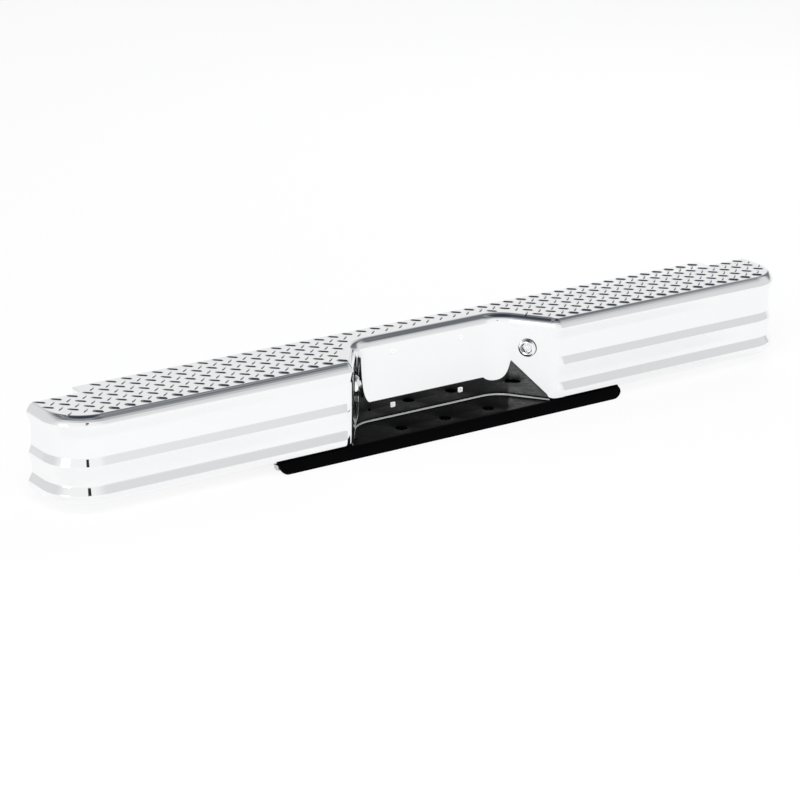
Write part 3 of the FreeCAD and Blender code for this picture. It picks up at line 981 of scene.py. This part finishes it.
@dataclass
class PlateNuts:
    """Four white nylon nuts in the licence wall. Millimetres."""

    wall_y: float
    centre_z: float = 112.8
    pitch_x: float = 177.8
    pitch_z: float = 120.65
    screw_r: float = 2.3
    flange: float = 5.5
    flange_t: float = 2.0
    body: float = 4.3
    depth: float = 13.0
    skin_front: float = 0.2
    skin_back: float = 0.7
    hole_power: float = 2.0
    body_power: float = 8.0
    ring_points: int = 48

    def profile(self) -> Array:
        """Section of a nut over its skin, flange, body and bore, as rows of radius, depth and n."""
        f, t, r, b, end = self.flange, self.flange_t, self.screw_r, self.body, self.depth
        front, back = -t + self.skin_front, -t + self.skin_back
        skin = [(0, back), (0, front), (r, front), (r + 0.3, -t)]
        outside = [
            (f - 0.7, -t), (f - 0.2, -t + 0.25), (f, -t + 0.8), (f, 0), (b, 0), (b + 0.35, 2.7),
            (b - 0.6, end - 3), (b - 1.0, end),
        ]
        bore = [(r, end), (r, back), (0, back)]
        powers = (self.hole_power, self.body_power, self.hole_power)
        return np.array([(*row, n) for run, n in zip((skin, outside, bore), powers) for row in run])

    def build(self) -> None:
        """Makes each nut as a profile carried round a rounded square and dresses them.

        A point at angle a lies at radius r / (|cos a|^n + |sin a|^n)^(1/n): n is 2 on the screw hole and
        8 outside. A thin skin closes the hole just inside the front, as in the photo.
        """
        profile = self.profile()
        a = np.linspace(0.0, 2 * math.pi, self.ring_points, endpoint=False)
        c, s, n = np.abs(np.cos(a)), np.abs(np.sin(a)), profile[:, 2:]
        radius = profile[:, :1] / (c**n + s**n) ** (1 / n)
        surface = SurfaceMesh()
        for i in (-1, 1):
            for j in (-1, 1):
                x = i * self.pitch_x / 2 + radius * np.cos(a)
                z = self.centre_z + j * self.pitch_z / 2 + radius * np.sin(a)
                y = np.broadcast_to(self.wall_y + profile[:, 1:2], x.shape)
                surface.grid(np.stack([x, y, z], -1), wrap=True)
        settle(surface.build("plate_nut_set"), "nylon", NYLON.material(), "plate_nuts")


@dataclass(frozen=True)
class Carriers:
    """Brackets, stiffeners and fixings, shown as their solids."""

    plates: tuple[str, ...] = ("frame_bracket", "step_stiffener")
    fixings: tuple[str, ...] = ("bolts", "washers", "nuts")

    def build(self) -> None:
        """Gives each its finish."""
        for side in Side:
            for plate in self.plates:
                dress(f"{side.label}_{plate}", SATIN_BLACK)
        for fixing in self.fixings:
            dress(fixing, ZINC)


# Studio

SIDE_WALLS: Stops = (
    (0.0, 0.84), (0.05, 0.74), (0.30, 0.74), (0.55, 0.72), (0.66, 0.52), (0.74, 0.30),
    (0.80, 0.14), (0.84, 0.16), (0.87, 0.30), (0.90, 0.20), (0.94, 0.05), (1.0, 0.03),
)
FRONT_WALL: Stops = (
    (0.0, 1.0), (0.05, 1.0), (0.25, 0.96), (0.70, 0.92), (0.82, 0.42), (0.92, 0.12), (1.0, 0.04),
)
BACKDROP: Stops = (
    (0.0, 1.0), (0.12, 1.0), (0.28, 0.86), (0.42, 0.84), (0.60, 0.5), (0.72, 0.14), (1.0, 0.03),
)
BESIDE_BACKDROP: Stops = ((0.0, 1.0), (0.06, 0.9), (0.20, 0.20), (1.0, 0.03))


@dataclass
class PhotoCamera:
    """The photo's camera, fitted to its edges. Degrees and metres."""

    focal_px: float = 2626.67
    image_px: float = 800.0
    sensor_mm: float = 36.0
    yaw: float = 34.53
    pitch: float = 19.26
    roll: float = 0.38
    eye: tuple[float, float, float] = (-3.08964, -4.42004, 1.92027)
    clip_end: float = 100.0

    def build(self) -> None:
        """Places the camera from its yaw, pitch and roll."""
        t, p, r = (math.radians(v) for v in (self.yaw, self.pitch, self.roll))
        level = Vector((math.sin(t), math.cos(t), 0.0))
        side = Vector((math.cos(t), -math.sin(t), 0.0))
        ahead = level * math.cos(p) - Vector((0, 0, 1)) * math.sin(p)
        up = level * math.sin(p) + Vector((0, 0, 1)) * math.cos(p)
        right = side * math.cos(r) + up * math.sin(r)
        top = up * math.cos(r) - side * math.sin(r)
        data = bpy.data.cameras.new("photo_camera")
        data.sensor_width = self.sensor_mm
        data.lens = self.focal_px / self.image_px * self.sensor_mm
        data.clip_end = self.clip_end
        eye = bpy.data.objects.new("photo_camera", data)
        eye.matrix_world = Matrix.Translation(self.eye) @ Matrix((right, top, -ahead)).transposed().to_4x4()
        bpy.context.scene.collection.objects.link(eye)
        bpy.context.scene.camera = eye


@dataclass
class StudioFloor:
    """A wide pale floor that shows its own white to the camera and to mirrors, and keeps the shadow.

    Under the tow channel, where no light comes, it has no white of its own. Metres.
    """

    half: float = 30.0
    grey: float = 0.9
    glow: float = 0.88
    mirror_share: float = 0.75
    shade_middle: tuple[float, float] = (0.0, -0.072)
    shade_half: tuple[float, float] = (0.38, 0.076)

    def seen(self, make: NodeSet) -> Socket:
        """One for rays from the camera, the mirror share for rays from a mirror or glass."""
        rays = make.node("ShaderNodeLightPath").outputs
        mirror = make.calc("MAXIMUM", rays["Is Glossy Ray"], rays["Is Transmission Ray"])
        part = make.calc("MULTIPLY", mirror, self.mirror_share)
        return make.calc("MAXIMUM", rays["Is Camera Ray"], part)

    def lit(self, make: NodeSet) -> Socket:
        """Zero under the tow channel and one elsewhere."""
        way = make.node("ShaderNodeTexCoord").outputs["Object"]
        place = make.node("ShaderNodeSeparateXYZ", {0: way}).outputs
        sides = zip("XY", self.shade_middle, self.shade_half)
        inside = [make.calc("COMPARE", place[axis], middle, half) for axis, middle, half in sides]
        return make.calc("SUBTRACT", 1.0, make.calc("MULTIPLY", *inside))

    def build(self) -> None:
        """Makes the floor and its material."""
        span = np.linspace(-self.half / MM, self.half / MM, 3)
        x, y = np.meshgrid(span, span, indexing="ij")
        surface = SurfaceMesh()
        surface.grid(np.stack([x, y, 0 * x], -1))
        floor = surface.build("studio_floor")
        made = bpy.data.materials.new("pale_floor")
        make = NodeSet.of(made)
        white = make.calc("MULTIPLY", self.seen(make), self.lit(make))
        share = make.calc("MULTIPLY", white, self.glow)
        matte = make.node("ShaderNodeBsdfDiffuse", {"Color": (self.grey, self.grey, self.grey, 1.0)})
        glow = make.node("ShaderNodeEmission", {"Color": WHITE, "Strength": 1.0})
        mixed = make.node("ShaderNodeMixShader", {0: share, 1: matte.outputs[0], 2: glow.outputs[0]})
        make.node("ShaderNodeOutputMaterial", {"Surface": mixed.outputs[0]})
        floor.data.materials.append(made)


@dataclass(frozen=True)
class SoftBox:
    """A bright box by the camera, placed by how far a direction points across the view and up."""

    across: float = -0.60
    height: float = 0.33
    edge: tuple[float, float] = (0.16, 0.05)
    colour: Colour = (9.0, 9.0, 9.1, 1.0)

    def mask(self, make: NodeSet, across: Socket, height: Socket) -> Socket:
        """One inside the box, easing to 0 over its edges."""
        apart = (make.calc("SUBTRACT", *pair) for pair in ((across, self.across), (height, self.height)))
        return make.calc("MULTIPLY", *(make.ease(make.calc("ABSOLUTE", gap), *self.edge) for gap in apart))


@dataclass(frozen=True)
class DarkStand:
    """A dark stand by the camera: two narrow patches at the heights that the two ribs mirror."""

    across: float = 0.26
    half_wide: float = 0.055
    heights: tuple[float, float] = (0.38, 0.625)
    half_high: float = 0.02
    colour: Colour = (0.03, 0.03, 0.032, 1.0)

    def mask(self, make: NodeSet, across: Socket, height: Socket) -> Socket:
        """One inside the patches, 0 elsewhere."""
        high = make.calc("MAXIMUM", *(make.calc("COMPARE", height, z, self.half_high) for z in self.heights))
        return make.calc("MULTIPLY", high, make.calc("COMPARE", across, self.across, self.half_wide))


@dataclass
class StudioWalls:
    """Walls white before and behind the part and grey at its sides, under a dark ceiling.

    A direction's height picks a grey from four ramps, mixed by how far it points to the camera, away from
    it, and past the backdrop's right edge. The soft box stands to the left of the camera, the dark stand to
    its right. The camera itself sees white.
    """

    yaw: float
    to_front: tuple[float, float] = (0.24, 0.70)
    to_back: tuple[float, float] = (-0.45, -0.70)
    past_backdrop: tuple[float, float] = (0.24, 0.38)
    cool: tuple[float, float] = (0.01, 0.03)

    def ramp(self, make: NodeSet, height: Socket, stops: Stops) -> Socket:
        """Grey by height, a little cooler where it is darker.

        Args:
            make: the world's nodes.
            height: how far a direction points up.
            stops: heights and their greys.

        Returns:
            The colour's output.
        """
        ramp = make.node("ShaderNodeValToRGB", {0: height})
        while len(ramp.color_ramp.elements) < len(stops):
            ramp.color_ramp.elements.new(0.5)
        for element, (at, grey) in zip(ramp.color_ramp.elements, stops):
            green, blue = (grey + cool * (1 - grey) for cool in self.cool)
            element.position = at
            element.color = (grey, green, blue, 1.0)
        return ramp.outputs[0]

    def build(self) -> None:
        """Makes the world."""
        world = bpy.data.worlds.new("studio")
        bpy.context.scene.world = world
        make = NodeSet.of(world)
        way = make.node("ShaderNodeTexCoord").outputs["Generated"]
        height = make.node("ShaderNodeSeparateXYZ", {0: way}).outputs["Z"]
        c, s = math.cos(self.yaw), math.sin(self.yaw)
        near, across = (
            make.node("ShaderNodeVectorMath", {0: way, 1: axis}, operation="DOT_PRODUCT").outputs["Value"]
            for axis in ((-s, -c, 0.0), (c, -s, 0.0))
        )
        walls = (SIDE_WALLS, FRONT_WALL, BACKDROP, BESIDE_BACKDROP)
        sides, front, behind, beside = (self.ramp(make, height, stops) for stops in walls)
        behind = make.blend(make.ease(across, *self.past_backdrop), behind, beside)
        colour = make.blend(make.ease(near, *self.to_front), sides, front)
        colour = make.blend(make.ease(near, *self.to_back), colour, behind)
        front_half = make.calc("GREATER_THAN", near, 0.0)
        for patch in (SoftBox(), DarkStand()):
            mask = make.calc("MULTIPLY", front_half, patch.mask(make, across, height))
            colour = make.blend(mask, colour, patch.colour)
        direct = make.node("ShaderNodeLightPath").outputs["Is Camera Ray"]
        colour = make.blend(direct, colour, WHITE)
        sky = make.node("ShaderNodeBackground", {"Color": colour, "Strength": 1.0})
        make.node("ShaderNodeOutputWorld", {"Surface": sky.outputs[0]})


@dataclass(frozen=True)
class SoftLamp:
    """A large soft lamp that lights matte surfaces and stays out of the mirrors. Metres and watts."""

    name: str
    place: tuple[float, float, float]
    watts: float
    size: float = 2.5

    def build(self) -> None:
        """Makes the lamp and aims it at the part."""
        data = bpy.data.lights.new(self.name, "AREA")
        data.size = self.size
        data.energy = self.watts
        lamp = bpy.data.objects.new(self.name, data)
        aim = Vector(self.place).to_track_quat("Z", "Y").to_matrix().to_4x4()
        lamp.matrix_world = Matrix.Translation(self.place) @ aim
        lamp.visible_glossy = False
        bpy.context.scene.collection.objects.link(lamp)


class Studio:
    """The photo's camera, a pale floor, walls of light and two soft lamps."""

    def build(self) -> None:
        """Sets the view, the camera, the floor and the light."""
        bpy.context.scene.view_settings.view_transform = "Standard"
        camera = PhotoCamera()
        camera.build()
        StudioFloor().build()
        StudioWalls(math.radians(camera.yaw)).build()
        SoftLamp("key_lamp", (-2.2, -2.6, 3.4), 130.0).build()
        SoftLamp("fill_lamp", (2.6, 2.0, 3.0), 70.0).build()


def main() -> None:
    """Builds the bumper's looks on its frame."""
    logging.basicConfig(level=logging.INFO, format="%(message)s")
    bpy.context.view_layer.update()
    wander_group()
    speck_group()
    path = PlanPath()
    FaceBar(path).build()
    TowChannel().build()
    for side in Side:
        LicenceLamp(side, path).build()
    PlateNuts(path.wall_y).build()
    Carriers().build()
    Studio().build()


if __name__ == "__main__":
    main()
